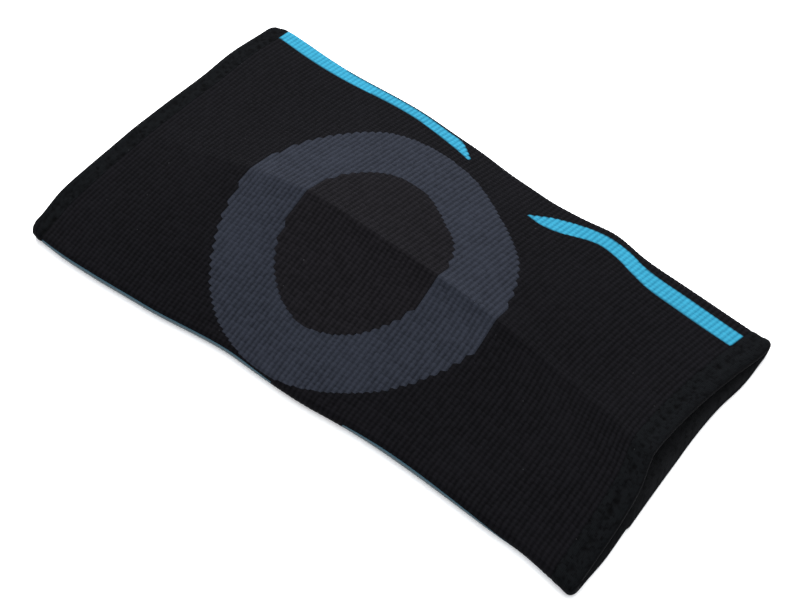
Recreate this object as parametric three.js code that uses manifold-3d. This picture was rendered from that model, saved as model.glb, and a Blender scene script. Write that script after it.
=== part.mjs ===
// Knitted elbow sleeve, pressed flat and lying by itself, with one old fold raised along its back.
// Millimetres, Z up. X runs along the sleeve from the upper arm end to the forearm end, Y across it.
// The origin is the middle of the underside of the whole sleeve's box.
import * as THREE from 'three';
import { mergeVertices } from 'three/addons/utils/BufferGeometryUtils.js';
import Module from 'manifold-3d';

// Sleeve: its length, and its flat widths from side fold to side fold
const LENGTH = 225;
const UPPER_ARM_WIDTH = 130;
const ELBOW_WIDTH = 117;
const FOREARM_WIDTH = 112;

// Knit: one layer, and the height of the two layers together at a side fold
const WALL = 2;
const FOLD_HEIGHT = 5.2;

// Height of the upper layer's ridge over the table, at the ends and at the elbow
const UPPER_ARM_RISE = 9.4;
const ELBOW_RISE = 21;
const FOREARM_RISE = 13;

// The most that an edge of an open end draws back
const END_DRAW = 6;

// Hems: the ends turned in and sewn down, a little thicker than the knit
const UPPER_ARM_HEM = 7;
const FOREARM_HEM = 8;
const HEM_WALL = 2.5;
const LIP = 1.2;
const UPPER_ARM_CORNER = 4;
const FOREARM_CORNER = 3;

// Coloured zones, knitted as a face layer into the black ground
const INLAY = 0.8;
const INLAY_RECESS = 0.05;
const RING_LENGTH = 106;
const RING_WIDTH = 108;
const DISC_LENGTH = 57;
const DISC_WIDTH = 65.5;
const RING_AT = 0.463;
const RING_SHIFT = 2.4;
const BAND_WIDTH = 6;
const BAND_FLOOR = 1.2;
const BAND_CEILING = 2.9;

// Clearances between pieces
const SEAM_GAP = 0.3;
const INLAY_GAP = 0.3;

// Lengths of one facet along the sleeve, and along an outline
const STEP = 8;
const OUTLINE_POINTS = 44;

// Heights that a cutting block passes the surfaces by, and the distance that merges two points
const CLEAR = 1;
const ABOVE_ALL = 2 * ELBOW_RISE;
const MERGE = 1e-4;

// Sections, evenly spaced. near and far: from the middle line to each side fold, and crease: from the
// middle line to the ridge, as shares of half the width there. rise: the ridge's height over the table.
// fullness: 0 for straight slopes, 1 for an arch.
const SECTIONS = [
  { near: 1.022, far: 1.008, crease: -0.19, rise: UPPER_ARM_RISE, fullness: 0.6 },
  { near: 1.023, far: 1.016, crease: -0.1, rise: 0.73 * ELBOW_RISE, fullness: 0.2 },
  { near: 0.986, far: 1.073, crease: -0.023, rise: ELBOW_RISE, fullness: 0.08 },
  { near: 0.968, far: 1.044, crease: -0.005, rise: 0.96 * ELBOW_RISE, fullness: 0.08 },
  { near: 0.934, far: 1.056, crease: 0.024, rise: 0.69 * ELBOW_RISE, fullness: 0.15 },
  { near: 0.946, far: 1.047, crease: -0.008, rise: 0.8 * FOREARM_RISE, fullness: 0.35 },
  { near: 0.979, far: 1.019, crease: -0.118, rise: FOREARM_RISE, fullness: 0.15 },
];

// Edges of the open ends, evenly spaced from the near side fold to the far one: how far each draws back,
// as shares of END_DRAW. upperArm: both layers there. raised and laid: the upper and the lower layer at
// the forearm.
const EDGES = [
  { upperArm: 0.4, raised: 0.22, laid: 0.22 },
  { upperArm: 0.14, raised: 0.21, laid: 0.22 },
  { upperArm: 0.05, raised: 0.3, laid: 0.25 },
  { upperArm: 0, raised: 0.52, laid: 0.19 },
  { upperArm: 0, raised: 0.99, laid: 0.13 },
  { upperArm: 0, raised: 0.97, laid: 0.06 },
  { upperArm: 0.04, raised: 0.74, laid: 0 },
  { upperArm: 0.08, raised: 0.35, laid: 0 },
  { upperArm: 0.25, raised: 0, laid: 0 },
];

// How fast the draw of an edge fades towards the other end
const UPPER_ARM_FADE = 4;
const FOREARM_FADE = 2;

// Points of a half section from the ridge to the side fold, as shares of the slope
const SLOPE_SHARES = [0.05, 0.14, 0.3, 0.5, 0.72, 0.9, 1];
const FOLD_FACETS = 5;
const FLOOR_FACETS = 6;

// Roundness of the ridge, as a share of the slope
const RIDGE_ROUND = 0.05;

// Outlines of the elbow ring and of the bare disc in it, every 30 degrees anticlockwise from the
// forearm side. reach: share of the ellipse's own radius there.
const RING_REACH = [1, 0.97, 0.9, 0.96, 1.05, 1, 0.98, 0.97, 0.99, 0.98, 0.95, 0.97];
const DISC_REACH = [1.01, 0.99, 0.9, 0.95, 1.03, 1.02, 0.97, 1.02, 1.04, 1.05, 1.04, 1.04];

// The rounded turn of the cloth at an open edge. along: share of LIP. thick: share of the hem's wall.
const LIP_ROUND = [
  { along: 0, thick: 0.45 },
  { along: 0.3, thick: 0.85 },
  { along: 1, thick: 1 },
];

// Side bands. at: share of the way between the hems. inner and outer: from the side fold to the band's
// two borders, as shares of BAND_WIDTH, below zero where the band passes over the fold. The far bands
// lie on the upper layer, and the near bands are rolled a little under their fold.
const UPPER_ARM_BAND = [
  { at: 0, inner: 1.18, outer: -0.5 },
  { at: 0.09, inner: 1.26, outer: -0.5 },
  { at: 0.18, inner: 1.18, outer: -0.5 },
  { at: 0.27, inner: 1.07, outer: -0.5 },
  { at: 0.38, inner: 1.17, outer: -0.5 },
  { at: 0.42, inner: 1.22, outer: 0.3 },
  { at: 0.457, inner: 1.32, outer: 1.2 },
];
const FOREARM_BAND = [
  { at: 0.607, inner: 2.42, outer: 2.3 },
  { at: 0.634, inner: 2.48, outer: 1.42 },
  { at: 0.662, inner: 2.25, outer: 0.88 },
  { at: 0.69, inner: 1.74, outer: 0.45 },
  { at: 0.72, inner: 1.36, outer: 0.18 },
  { at: 0.748, inner: 1.26, outer: 0.1 },
  { at: 0.777, inner: 1.42, outer: 0.28 },
  { at: 0.806, inner: 1.72, outer: 0.57 },
  { at: 0.834, inner: 1.93, outer: 0.69 },
  { at: 0.9, inner: 2, outer: 0.75 },
  { at: 1, inner: 2.03, outer: 0.82 },
];
const NEAR_FOREARM_BAND = [
  { at: 0.6, inner: 1, outer: -0.5 },
  { at: 0.8, inner: 1, outer: -0.5 },
  { at: 1, inner: 1, outer: -0.5 },
];

const wasm = await Module();
wasm.setup();

// Shape of the sleeve

function tableValue(table, key, share) {
  const points = table.map((row, index) => new THREE.Vector2(index, row[key]));
  return new THREE.SplineCurve(points).getPoint(THREE.MathUtils.clamp(share, 0, 1)).y;
}

function sectionValue(key, along) {
  return tableValue(SECTIONS, key, along);
}

function halfWidth(along) {
  const upper = UPPER_ARM_WIDTH * (1 - along) * (1 - 2 * along);
  const elbow = ELBOW_WIDTH * 4 * along * (1 - along);
  const forearm = FOREARM_WIDTH * along * (2 * along - 1);
  return (upper + elbow + forearm) / 2;
}

// How far a rounded corner of the outline pulls in, at a distance from the end
function cornerInset(distance, radius) {
  const short = Math.max(radius - distance, 0);
  return radius - Math.sqrt(radius * radius - short * short);
}

function foldAt(side, x) {
  const along = x / LENGTH;
  const inset = cornerInset(x, UPPER_ARM_CORNER) + cornerInset(LENGTH - x, FOREARM_CORNER);
  return halfWidth(along) * sectionValue(side, along) - inset;
}

// How far a point moves along the sleeve where the open edges draw back. across: 0 at the near side
// fold and 1 at the far one.
function edgeDraw(layer, across, along) {
  const upperArm = tableValue(EDGES, 'upperArm', across) * (1 - along) ** UPPER_ARM_FADE;
  const forearm = tableValue(EDGES, layer, across) * along ** FOREARM_FADE;
  return END_DRAW * (upperArm - forearm);
}

// Height of the slope between the side fold, 0, and the ridge, 1
function slopeHeight(share, fullness) {
  const round = (Math.hypot(share, RIDGE_ROUND) - RIDGE_ROUND) / (Math.hypot(1, RIDGE_ROUND) - RIDGE_ROUND);
  return (1 - fullness) * (1 - round) + fullness * (1 - round * round);
}

// One section as a closed loop of points, at a depth under the outer face
function sectionLoop(x, depth) {
  const along = x / LENGTH;
  const radius = FOLD_HEIGHT / 2;
  const ridge = halfWidth(along) * sectionValue('crease', along);
  const rise = sectionValue('rise', along);
  const fullness = sectionValue('fullness', along);
  const floor = Math.max(depth, 0);
  const loop = [];
  const slopePoint = (side, share) => {
    const foot = side * (foldAt(side > 0 ? 'far' : 'near', x) - radius);
    const draw = edgeDraw('raised', (1 + side * share) / 2, along);
    const z = FOLD_HEIGHT + (rise - FOLD_HEIGHT) * slopeHeight(share, fullness) - depth;
    return new THREE.Vector3(x + draw, ridge + share * (foot - ridge), z);
  };
  const foldPoint = (side, facet) => {
    const angle = Math.PI / 2 - (Math.PI * facet) / FOLD_FACETS;
    const foot = side * (foldAt(side > 0 ? 'far' : 'near', x) - radius);
    const reach = side * (radius - depth) * Math.cos(angle);
    const z = Math.max(radius + (radius - depth) * Math.sin(angle), floor);
    return new THREE.Vector3(x + edgeDraw('laid', (1 + side) / 2, along), foot + reach, z);
  };
  loop.push(slopePoint(1, 0));
  for (const share of SLOPE_SHARES) {
    loop.push(slopePoint(1, share));
  }
  for (let facet = 1; facet <= FOLD_FACETS; facet += 1) {
    loop.push(foldPoint(1, facet));
  }
  const farFoot = foldPoint(1, FOLD_FACETS);
  const nearFoot = foldPoint(-1, FOLD_FACETS);
  for (let facet = 1; facet < FLOOR_FACETS; facet += 1) {
    const share = facet / FLOOR_FACETS;
    const point = farFoot.clone().lerp(nearFoot, share).setZ(floor);
    loop.push(point.setX(x + edgeDraw('laid', 1 - share, along)));
  }
  for (let facet = FOLD_FACETS; facet >= 1; facet -= 1) {
    loop.push(foldPoint(-1, facet));
  }
  for (const share of [...SLOPE_SHARES].reverse()) {
    loop.push(slopePoint(-1, share));
  }
  return loop;
}

// Solids

function closedGeometry(points, triangles) {
  const geometry = new THREE.BufferGeometry();
  const positions = points.flatMap((point) => [point.x, point.y, point.z]);
  geometry.setAttribute('position', new THREE.Float32BufferAttribute(positions, 3));
  geometry.setIndex(triangles);
  return geometry;
}

// A hollow tube through rows of { x, outer, inner }, where outer and inner are depths under the face
function tube(rows) {
  const points = [];
  const triangles = [];
  for (const row of rows) {
    points.push(...sectionLoop(row.x, row.outer), ...sectionLoop(row.x, row.inner));
  }
  const around = points.length / rows.length / 2;
  const quad = (a, b, c, d) => triangles.push(a, b, c, a, c, d);
  const outerAt = (row, i) => row * 2 * around + (i % around);
  const innerAt = (row, i) => outerAt(row, i) + around;
  const last = rows.length - 1;
  for (let i = 0; i < around; i += 1) {
    for (let row = 0; row < last; row += 1) {
      quad(outerAt(row, i), outerAt(row + 1, i), outerAt(row + 1, i + 1), outerAt(row, i + 1));
      quad(innerAt(row, i), innerAt(row, i + 1), innerAt(row + 1, i + 1), innerAt(row + 1, i));
    }
    quad(outerAt(0, i), outerAt(0, i + 1), innerAt(0, i + 1), innerAt(0, i));
    quad(outerAt(last, i), innerAt(last, i), innerAt(last, i + 1), outerAt(last, i + 1));
  }
  return closedGeometry(points, triangles);
}

// An upright block with an outline and an optional hole, from one height to another
function block(outline, bottom, top, hole) {
  const shape = new THREE.Shape(outline);
  if (hole) {
    shape.holes.push(new THREE.Path(hole));
  }
  const geometry = new THREE.ExtrudeGeometry(shape, { depth: top - bottom, bevelEnabled: false });
  return geometry.translate(0, 0, bottom);
}

function toSolid(geometry) {
  const bare = geometry.clone();
  bare.deleteAttribute('normal');
  bare.deleteAttribute('uv');
  const merged = mergeVertices(bare, MERGE);
  const vertProperties = new Float32Array(merged.attributes.position.array);
  const triVerts = new Uint32Array(merged.index.array);
  return new wasm.Manifold(new wasm.Mesh({ numProp: 3, vertProperties, triVerts }));
}

function toGeometry(solid) {
  const mesh = solid.getMesh();
  const geometry = new THREE.BufferGeometry();
  geometry.setAttribute('position', new THREE.BufferAttribute(new Float32Array(mesh.vertProperties), 3));
  geometry.setIndex(new THREE.BufferAttribute(new Uint32Array(mesh.triVerts), 1));
  return geometry;
}

// Rows of the tubes

const BODY_START = UPPER_ARM_HEM + SEAM_GAP;
const BODY_END = LENGTH - FOREARM_HEM - SEAM_GAP;

function bodyRows(outer, inner) {
  const count = Math.round((BODY_END - BODY_START) / STEP);
  return Array.from({ length: count + 1 }, (_, index) => {
    const x = BODY_START + ((BODY_END - BODY_START) * index) / count;
    return { x, outer, inner };
  });
}

function hemRows(edge, direction, length) {
  const proud = (WALL - HEM_WALL) / 2;
  const middle = WALL / 2;
  const row = (distance, thick) => ({
    x: edge + direction * distance,
    outer: middle - (middle - proud) * thick,
    inner: middle + (middle - proud) * thick,
  });
  const rows = LIP_ROUND.map(({ along, thick }) => row(along * LIP, thick));
  rows.push(row((LIP + length) / 2, 1), row(length, 1));
  return direction > 0 ? rows : rows.reverse();
}

// Outlines in plan

function roundOutline(length, width, reach, grow) {
  const middle = new THREE.Vector2(RING_AT * LENGTH, ringMiddle());
  const corners = reach.map((share, index) => {
    const angle = (2 * Math.PI * index) / reach.length;
    const ellipse = new THREE.Vector2((Math.cos(angle) * length) / 2, (Math.sin(angle) * width) / 2);
    return ellipse.multiplyScalar(share);
  });
  const curve = new THREE.CatmullRomCurve3(corners.map((p) => new THREE.Vector3(p.x, p.y, 0)), true);
  const loop = [];
  for (let index = 0; index < OUTLINE_POINTS; index += 1) {
    const point = curve.getPoint(index / OUTLINE_POINTS);
    const away = new THREE.Vector2(point.x, point.y).setLength(Math.hypot(point.x, point.y) + grow);
    loop.push(away.add(middle));
  }
  return loop;
}

function ringMiddle() {
  return halfWidth(RING_AT) * sectionValue('crease', RING_AT) - RING_SHIFT;
}

function bandOutline(rows, side, grow) {
  const edge = side > 0 ? 'far' : 'near';
  const xAt = (at) => BODY_START + (BODY_END - BODY_START) * at;
  const border = (key, shift) => rows.map((row, index) => {
    const outward = index === 0 ? -grow : index === rows.length - 1 ? grow : 0;
    const x = xAt(row.at) + outward;
    return new THREE.Vector2(x, side * (foldAt(edge, xAt(row.at)) - row[key] * BAND_WIDTH + shift));
  });
  const loop = [...border('inner', -grow), ...border('outer', grow).reverse()];
  return side > 0 ? loop : loop.reverse();
}

// Inlaid zones: the piece is the face layer inside its outline, and the pocket is a little larger

const faceLayer = toSolid(tube(bodyRows(INLAY_RECESS, INLAY)));
const pocketLayer = toSolid(tube(bodyRows(-CLEAR, INLAY + INLAY_GAP)));

function inlay(name, outlineAt, bottom, top, color, holeAt) {
  const piece = toSolid(block(outlineAt(0), bottom, top, holeAt?.(0)));
  const roomHole = holeAt?.(-INLAY_GAP);
  const room = toSolid(block(outlineAt(INLAY_GAP), bottom - INLAY_GAP, top + INLAY_GAP, roomHole));
  return { name, color, solid: faceLayer.intersect(piece), pocket: pocketLayer.intersect(room) };
}

const GREY = 0x4a5060;
const CYAN = 0x3fb4da;
const BLACK = 0x1d1e23;
const HEM_BLACK = 0x1a1d1e;

const inlays = [
  inlay(
    'elbow_ring',
    (grow) => roundOutline(RING_LENGTH, RING_WIDTH, RING_REACH, grow),
    BAND_CEILING + INLAY_GAP,
    ABOVE_ALL,
    GREY,
    (grow) => roundOutline(DISC_LENGTH, DISC_WIDTH, DISC_REACH, grow),
  ),
  inlay('far_upper_arm_band', (grow) => bandOutline(UPPER_ARM_BAND, 1, grow), BAND_FLOOR, ABOVE_ALL, CYAN),
  inlay('far_forearm_band', (grow) => bandOutline(FOREARM_BAND, 1, grow), BAND_FLOOR, ABOVE_ALL, CYAN),
  inlay('near_upper_arm_band', (grow) => bandOutline(UPPER_ARM_BAND, -1, grow), -CLEAR, BAND_CEILING, CYAN),
  inlay('near_forearm_band', (grow) => bandOutline(NEAR_FOREARM_BAND, -1, grow), -CLEAR, BAND_CEILING, CYAN),
];

const pockets = inlays.map((entry) => entry.pocket);
const body = pockets.reduce((solid, pocket) => solid.subtract(pocket), toSolid(tube(bodyRows(0, WALL))));

// The sleeve, moved so that its box stands on the origin

const knit = { roughness: 0.92, metalness: 0 };
const pieces = [
  { name: 'sleeve_body', color: BLACK, geometry: toGeometry(body) },
  { name: 'upper_arm_hem', color: HEM_BLACK, geometry: tube(hemRows(0, 1, UPPER_ARM_HEM)) },
  { name: 'forearm_hem', color: HEM_BLACK, geometry: tube(hemRows(LENGTH, -1, FOREARM_HEM)) },
  ...inlays.map(({ name, color, solid }) => ({ name, color, geometry: toGeometry(solid) })),
];

const box = new THREE.Box3();
for (const { geometry } of pieces) {
  geometry.computeBoundingBox();
  box.union(geometry.boundingBox);
}
const middle = box.getCenter(new THREE.Vector3()).setZ(box.min.z);

const sleeve = new THREE.Group();
for (const { name, color, geometry } of pieces) {
  const mesh = new THREE.Mesh(geometry, new THREE.MeshStandardMaterial({ color, ...knit }));
  mesh.name = name;
  mesh.position.copy(middle).negate();
  sleeve.add(mesh);
}

export default sleeve;
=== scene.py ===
# Looks of a knitted elbow sleeve that lies flat by itself: rib knit, knitted-in colours, sewn hems.
# Metres in the scene; the sleeve's own values are in millimetres and MM turns them into metres.
import math
import bpy
import numpy as np
from mathutils import Matrix, Vector


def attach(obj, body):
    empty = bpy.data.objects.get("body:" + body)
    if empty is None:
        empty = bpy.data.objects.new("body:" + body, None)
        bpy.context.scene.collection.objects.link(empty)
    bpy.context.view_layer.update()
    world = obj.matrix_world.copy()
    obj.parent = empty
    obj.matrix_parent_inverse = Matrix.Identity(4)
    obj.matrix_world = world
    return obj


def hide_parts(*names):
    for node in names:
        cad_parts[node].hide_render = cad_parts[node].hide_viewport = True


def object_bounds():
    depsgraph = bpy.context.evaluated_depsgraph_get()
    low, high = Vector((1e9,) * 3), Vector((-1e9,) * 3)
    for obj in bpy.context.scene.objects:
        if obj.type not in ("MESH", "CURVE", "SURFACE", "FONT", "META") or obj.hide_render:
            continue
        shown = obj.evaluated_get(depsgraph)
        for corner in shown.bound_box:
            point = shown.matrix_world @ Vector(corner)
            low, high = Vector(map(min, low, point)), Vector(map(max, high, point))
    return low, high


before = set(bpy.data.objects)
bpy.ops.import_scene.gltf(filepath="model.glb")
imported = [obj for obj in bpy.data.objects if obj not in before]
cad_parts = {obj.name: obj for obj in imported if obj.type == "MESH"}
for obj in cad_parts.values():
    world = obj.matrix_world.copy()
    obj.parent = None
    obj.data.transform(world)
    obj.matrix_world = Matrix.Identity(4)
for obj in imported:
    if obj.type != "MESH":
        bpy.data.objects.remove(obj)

CAD_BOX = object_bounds()
MM = 0.001

# Sizes of the sleeve: those of the solids, with the corners of its ends fitted closer to the photo
LENGTH = (CAD_BOX[1].x - CAD_BOX[0].x) / MM
UPPER_ARM_WIDTH = 130.0
ELBOW_WIDTH = 117.0
FOREARM_WIDTH = 112.0
WALL = 2.0
FOLD_HEIGHT = 5.2
UPPER_ARM_RISE = 9.4
ELBOW_RISE = 21.0
FOREARM_RISE = 13.0
END_DRAW = 6.0
UPPER_ARM_HEM = 7.0
FOREARM_HEM = 8.0
HEM_WALL = 2.5
LIP = 1.2
UPPER_ARM_CORNER = 5.5
FOREARM_CORNER = 2.0
SEAM_GAP = 0.3
RING_LENGTH = 106.0
RING_WIDTH = 108.0
DISC_LENGTH = 57.0
DISC_WIDTH = 65.5
RING_AT = 0.463
RING_SHIFT = 2.4
BAND_WIDTH = 6.0
RIDGE_ROUND = 0.02
FRAME_SAMPLES = 400

# Pinch along the ridge and a soft swell beside it: two heights, and places and spreads as shares
PINCH = 0.95
PINCH_SHARE = 0.07
PINCH_START = 0.13
PINCH_FADE = 0.2
CREASE_SWELL = 0.8
SWELL_AT = 0.62
SWELL_SPREAD = 0.13
SWELL_FAR = 0.16
SWELL_NEAR = 0.07

# Slack of the upper layer, as shallow waves: height, run along and across in millimetres, and start
WAVES = [(0.30, 23.0, 41.0, 0.7), (0.22, 13.0, -19.0, 2.1), (0.12, 7.5, 11.0, 4.0)]

# Sections, evenly spaced along the sleeve, as in the solids
NEAR = [1.022, 1.023, 0.986, 0.968, 0.934, 0.946, 0.979]
FAR = [1.008, 1.016, 1.073, 1.044, 1.056, 1.047, 1.019]
CREASE = [-0.19, -0.1, -0.023, -0.005, 0.024, -0.008, -0.118]
RISE = [UPPER_ARM_RISE, 0.73 * ELBOW_RISE, ELBOW_RISE, 0.96 * ELBOW_RISE, 0.69 * ELBOW_RISE,
        0.8 * FOREARM_RISE, FOREARM_RISE]
FULLNESS = [0.6, 0.2, 0.08, 0.08, 0.15, 0.35, 0.15]

# Edges of the open ends from the near side fold to the far one, as shares of END_DRAW, with the small
# waves of the real edge, and how fast the draw fades along the sleeve
EDGES = {
    "upper_arm": [0.32, 0.04, 0.06, 0.12, 0.13, 0.13, 0.14, -0.03, 0.12],
    "raised": [0.16, 0.21, 0.3, 0.52, 0.99, 0.97, 0.74, 0.35, -0.1],
    "laid": [0.1, -0.05, 0.04, 0.12, 0.18, 0.23, 0.15, -0.12, -0.12],
}
UPPER_ARM_FADE = 4
FOREARM_FADE = 2

# Outlines of the ring and of the disc in it, every 30 degrees, as shares of their half sizes
OUTLINE_POINTS = 720
RING_REACH = [1.01, 0.98, 0.9, 0.96, 1.045, 1, 0.98, 0.975, 1.01, 1.0, 0.96, 0.965]
DISC_REACH = [1.02, 1.01, 0.9, 0.95, 1.03, 1.03, 0.965, 1.02, 1.03, 1.055, 1.03, 1.015]

# Side bands. at: share of the way between the hems. inner and outer: how far the borders lie in from the
# side fold, as shares of BAND_WIDTH. height: of a border that lies on the near fold, in millimetres.
UPPER_ARM_BAND = {
    "at": [0, 0.09, 0.18, 0.27, 0.38, 0.42, 0.457],
    "inner": [1.13, 1.2, 1.12, 1.02, 1.11, 1.24, 1.45],
    "outer": [0.0, 0.13, 0.21, 0.24, 0.32, 0.42, 1.25],
}
FOREARM_BAND = {
    "at": [0.609, 0.634, 0.662, 0.69, 0.72, 0.748, 0.777, 0.806, 0.834, 0.9, 1],
    "inner": [2.25, 2.33, 2.21, 1.88, 1.62, 1.55, 1.54, 1.69, 1.87, 1.97, 1.97],
    "outer": [2.1, 1.42, 0.97, 0.73, 0.66, 0.62, 0.56, 0.7, 0.78, 0.81, 0.85],
}
NEAR_UPPER_ARM_BAND = {
    "at": [0, 0.09, 0.18, 0.27, 0.38, 0.42, 0.48],
    "inner": [1.18, 1.26, 1.18, 1.07, 1.17, 1.1, 0.6],
    "height": [3.6, 3.9, 3.9, 3.8, 3.8, 3.8, 3.3],
}
NEAR_FOREARM_BAND = {
    "at": [0.62, 0.7, 0.8, 0.88, 0.94, 1],
    "inner": [0.6, 1, 1, 1.2, 1.5, 1.6],
    "height": [3.4, 3.9, 3.7, 3.1, 1.9, 0.8],
}
BANDS = {
    "far_upper_arm_band": UPPER_ARM_BAND,
    "far_forearm_band": FOREARM_BAND,
    "near_upper_arm_band": NEAR_UPPER_ARM_BAND,
    "near_forearm_band": NEAR_FOREARM_BAND,
}

# Small bulges of the side folds: place along the sleeve, spread and reach in millimetres
FAR_BULGES = [(2, 4.5, -1.3), (161, 10, 2.2), (136, 8, -0.5), (104, 12, 0.9)]
NEAR_BULGES = [(4, 10, -1.0), (60, 10, 0.4), (88, 12, -0.8), (121, 12, 0.5), (206, 9, -0.8)]

# Knit. Teeth: how far a border keeps to whole stitches and ribs. Relief: shares of the ribs' depth.
RIBS = 112
ROWS_PER_RIB = 4
RIB_DEPTH = 0.22
RIB_PROFILE = [-1.0, -0.28, 0.0, -0.28]
ZONE_DEPTH = 0.7
POCKET_DEPTH = 0.9
STITCH_WIDTH = 1.35
STITCH_TOOTH = 0.35
RIB_TOOTH = 0.72
BAND_TOOTH = 0.3
BAND_RELIEF = 0.5
FOLD_RELIEF = 0.45
LINING_ROWS = 41
LINING_GROOVE = 0.3

# A zone that passes the foot of the near slope: the least run past it, and the lowest u that it reaches
SHORTEST_OVERLAP = 0.3
LOWEST_OVERLAP = 3.72

# Columns round the sleeve: each stretch of the loop and its facets
NEAR_SLOPE_COLUMNS = 72
FAR_SLOPE_COLUMNS = 78
FOLD_COLUMNS = 8
FLOOR_EDGE = 9.0
FLOOR_EDGE_COLUMNS = 8
FLOOR_MIDDLE_COLUMNS = 14

BODY_START = UPPER_ARM_HEM + SEAM_GAP
BODY_END = LENGTH - FOREARM_HEM - SEAM_GAP


# Shape of the sleeve
#
# A place on it is x, from the upper arm end, and u, round the loop: -1 to 0 is the near slope up to the
# ridge, 0 to 1 the far slope, 1 to 2 the far fold, 2 to 3 the underside, 3 to 4 the near fold.
LOOP_END = 4.0
LOOP_SPAN = 5.0
UNDERSIDE_MIDDLE = 2.5
TINY = 1e-9


def spline_value(values, along):
    """Smooth curve through evenly spaced values, for shares of the way along them."""
    values = np.asarray(values, float)
    last = len(values) - 1
    place = np.clip(along, 0, 1) * last
    i = np.minimum(place.astype(int), last - 1)
    w = place - i
    p0, p1 = values[np.maximum(i - 1, 0)], values[i]
    p2, p3 = values[i + 1], values[np.minimum(i + 2, last)]
    v0, v1 = (p2 - p0) / 2, (p3 - p1) / 2
    return (2 * p1 - 2 * p2 + v0 + v1) * w**3 + (-3 * p1 + 3 * p2 - 2 * v0 - v1) * w**2 + v0 * w + p1


def half_width(along):
    """Half the flat width, through the widths at both ends and at the elbow."""
    upper = UPPER_ARM_WIDTH * (1 - along) * (1 - 2 * along)
    elbow = ELBOW_WIDTH * 4 * along * (1 - along)
    forearm = FOREARM_WIDTH * along * (2 * along - 1)
    return (upper + elbow + forearm) / 2


def corner_inset(distance, radius):
    """How far a rounded corner lies in from the side at a distance from the end."""
    short = np.clip(radius - distance, 0, radius)
    return radius - np.sqrt(radius * radius - short * short)


def fold_at(shares, x):
    """Distance of a side fold from the middle line."""
    along = x / LENGTH
    inset = corner_inset(x, UPPER_ARM_CORNER) + corner_inset(LENGTH - x, FOREARM_CORNER)
    table = FAR_BULGES if shares is FAR else NEAR_BULGES
    bulges = sum(reach * np.exp(-(((x - place) / spread) ** 2)) for place, spread, reach in table)
    return half_width(along) * spline_value(shares, along) - inset + bulges


def ridge_at(x):
    """The y of the ridge."""
    return half_width(x / LENGTH) * spline_value(CREASE, x / LENGTH)


def slope_height(share, fullness):
    """Height of a slope from the ridge, at share 0, to its foot, at 1: straight, arched or between."""
    turned = (np.hypot(share, RIDGE_ROUND) - RIDGE_ROUND) / (math.hypot(1, RIDGE_ROUND) - RIDGE_ROUND)
    return (1 - fullness) * (1 - turned) + fullness * (1 - turned * turned)


def edge_draw(layer, across, along):
    """How far a point moves along the sleeve where the open edges draw back."""
    upper_arm = spline_value(EDGES["upper_arm"], across) * (1 - along) ** UPPER_ARM_FADE
    forearm = spline_value(EDGES[layer], across) * along**FOREARM_FADE
    return END_DRAW * (upper_arm - forearm)


def soft_waves(x, y):
    """Height that the slack of the upper layer adds."""
    waves = [height * np.sin(x / along + y / across + start) for height, along, across, start in WAVES]
    return sum(waves)


def face(x, u):
    """Points of the outer face, in millimetres, for arrays x and u that broadcast together."""
    x, u = np.broadcast_arrays(np.asarray(x, float), np.asarray(u, float))
    along = x / LENGTH
    radius = FOLD_HEIGHT / 2
    far_foot = fold_at(FAR, x) - radius
    near_foot = -(fold_at(NEAR, x) - radius)
    ridge = ridge_at(x)
    # Slopes
    share = np.clip(np.abs(u), 0, 1)
    height = slope_height(share, spline_value(FULLNESS, along))
    foot = np.where(u > 0, far_foot, near_foot)
    y = ridge + share * (foot - ridge)
    rise = spline_value(RISE, along)
    z = FOLD_HEIGHT + (rise - FOLD_HEIGHT) * height
    slack = np.sqrt(np.sin(np.pi * np.clip(along, 0, 1)))
    pinch = PINCH * np.clip((along - PINCH_START) / PINCH_FADE, 0, 1) * np.exp(-share / PINCH_SHARE)
    swell = CREASE_SWELL * np.exp(-(((along - SWELL_AT) / SWELL_SPREAD) ** 2))
    swell = swell * np.exp(-share / np.where(u > 0, SWELL_FAR, SWELL_NEAR))
    z = z + slack * (soft_waves(x, y) * np.sin(np.pi * share) + pinch + swell)
    px = x + edge_draw("raised", (1 + np.clip(u, -1, 1)) / 2, along)
    # Side folds
    on_far = (u > 1) & (u <= 2)
    on_near = u > 3
    angle = np.where(on_far, np.pi / 2 - np.pi * (u - 1), -np.pi / 2 + np.pi * (u - 3))
    fold_y = np.where(on_far, far_foot + radius * np.cos(angle), near_foot - radius * np.cos(angle))
    fold_z = radius + radius * np.sin(angle)
    on_fold = on_far | on_near
    y = np.where(on_fold, fold_y, y)
    z = np.where(on_fold, fold_z, z)
    # Underside
    on_floor = (u > 2) & (u <= 3)
    y = np.where(on_floor, far_foot + (u - 2) * (near_foot - far_foot), y)
    z = np.where(on_floor, 0.0, z)
    across = np.where(on_far, 1.0, np.where(on_near, 0.0, np.clip(3 - u, 0, 1)))
    px = np.where(on_fold | on_floor, x + edge_draw("laid", across, along), px)
    return np.stack([px, y, z], -1)


def loop_normals(points):
    """Outward normals of a grid of rows along the sleeve and columns round it."""
    around = np.roll(points, -1, 1) - np.roll(points, 1, 1)
    along = np.gradient(points, axis=0)
    normal = np.cross(along, around)
    return normal / np.maximum(np.linalg.norm(normal, axis=-1, keepdims=True), TINY)


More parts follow.
